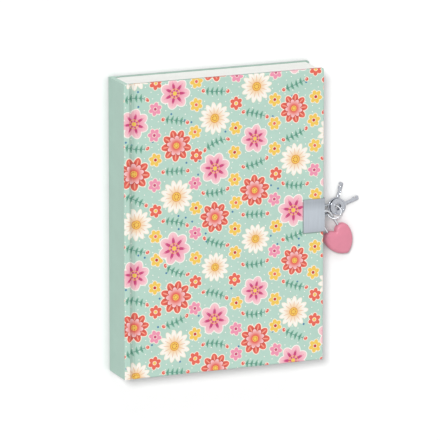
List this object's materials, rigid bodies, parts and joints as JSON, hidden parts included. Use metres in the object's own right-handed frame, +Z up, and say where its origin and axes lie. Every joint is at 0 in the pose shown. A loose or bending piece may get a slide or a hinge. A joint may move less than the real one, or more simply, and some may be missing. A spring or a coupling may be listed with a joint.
{
  "type": "diary with lock",
  "caption": "Hardback diary with a sheet-metal clasp on its fore-edge, closed by a small heart padlock with keys on a ring.",
  "frame": {"origin": "middle of the back cover's underside, on the table", "axes": "+X from the spine to the fore-edge, +Y to the head, +Z up to the front cover"},
  "size_m": [0.1896, 0.21, 0.0306],
  "materials": {
    "cover_paper": "printed, silk laminated",
    "board": "grey board",
    "endpaper": "uncoated",
    "pages": "uncoated",
    "lining": "open weave",
    "clasp": "satin",
    "shackle_wire": "bright",
    "heart_enamel": "satin enamel",
    "spring_steel": "plain",
    "ring_wire": "bright",
    "key_metal": "bright"
  },
  "bodies": {
    "root": {"back_board": "board", "back_cover_paper": "cover_paper", "back_pastedown": "endpaper", "back_flyleaf": "endpaper", "spine_board": "board", "spine_paper": "cover_paper", "spine_lining": "lining", "signature_1": "pages", "signature_2": "pages", "signature_3": "pages", "signature_4": "pages", "signature_5": "pages", "signature_6": "pages", "signature_7": "pages", "signature_8": "pages", "back_clasp": "clasp", "front_joint_paper": "cover_paper"},
    "front_cover": {"front_board": "board", "front_cover_paper": "cover_paper", "front_pastedown": "endpaper", "front_clasp": "clasp"},
    "front_flyleaf": {"front_flyleaf": "endpaper"},
    "first_leaves": {"first_leaves": "pages"},
    "second_leaves": {"second_leaves": "pages"},
    "shackle": {"shackle": "shackle_wire"},
    "padlock_body": {"heart_front_shell": "heart_enamel", "heart_back_shell": "heart_enamel", "locking_spring": "spring_steel", "shell_pin_1": "spring_steel", "shell_pin_2": "spring_steel"},
    "key_ring": {"key_ring": "ring_wire"},
    "key_1": {"key_1": "key_metal"},
    "key_2": {"key_2": "key_metal"}
  },
  "joints": [
    {"name": "front_cover_hinge", "type": "hinge", "parent": "root", "child": "front_cover", "pos_m": [-0.0694, 0, 0.0303], "axis": [0, -1, 0], "range_deg": [0, 180], "deforming": ["front_joint_paper"]},
    {"name": "padlock_swing", "type": "hinge", "parent": "front_cover", "child": "shackle", "pos_m": [0.08395, -0.0066, 0.0035], "axis": [0, -1, 0], "range_deg": [0, 70]},
    {"name": "padlock_release", "type": "slide", "parent": "shackle", "child": "padlock_body", "axis": [0.5373, -0.8434, 0], "range_m": [0, 0.0055], "deforming": ["locking_spring"]},
    {"name": "key_ring_swing", "type": "hinge", "parent": "shackle", "child": "key_ring", "pos_m": [0.09237, -0.0072, 0.0035], "axis": [0.5373, -0.8434, 0], "range_deg": [0, 30]},
    {"name": "key_1_turn", "type": "hinge", "parent": "key_ring", "child": "key_1", "pos_m": [0.09789, -0.00223, 0.00263], "axis": [0.0805, 0.0335, 0.9962], "range_deg": [-45, 25]},
    {"name": "key_2_turn", "type": "hinge", "parent": "key_ring", "child": "key_2", "pos_m": [0.09651, -0.00171, 0.00163], "axis": [0.0805, 0.0335, 0.9962], "range_deg": [-10, 60]},
    {"name": "front_flyleaf_turn", "type": "hinge", "parent": "root", "child": "front_flyleaf", "pos_m": [-0.0694, 0, 0.0303], "axis": [0, -1, 0], "range_deg": [0, 173.8]},
    {"name": "first_leaves_turn", "type": "hinge", "parent": "root", "child": "first_leaves", "pos_m": [-0.0694, 0, 0.0303], "axis": [0, -1, 0], "range_deg": [0, 164.8]},
    {"name": "second_leaves_turn", "type": "hinge", "parent": "root", "child": "second_leaves", "pos_m": [-0.0694, 0, 0.0303], "axis": [0, -1, 0], "range_deg": [0, 154]}
  ],
  "couplings": [
    {"joint": "front_flyleaf_turn", "follows": "front_cover_hinge", "ratio": 0.96},
    {"joint": "first_leaves_turn", "follows": "front_cover_hinge", "ratio": 0.91},
    {"joint": "second_leaves_turn", "follows": "front_cover_hinge", "ratio": 0.85}
  ]
}
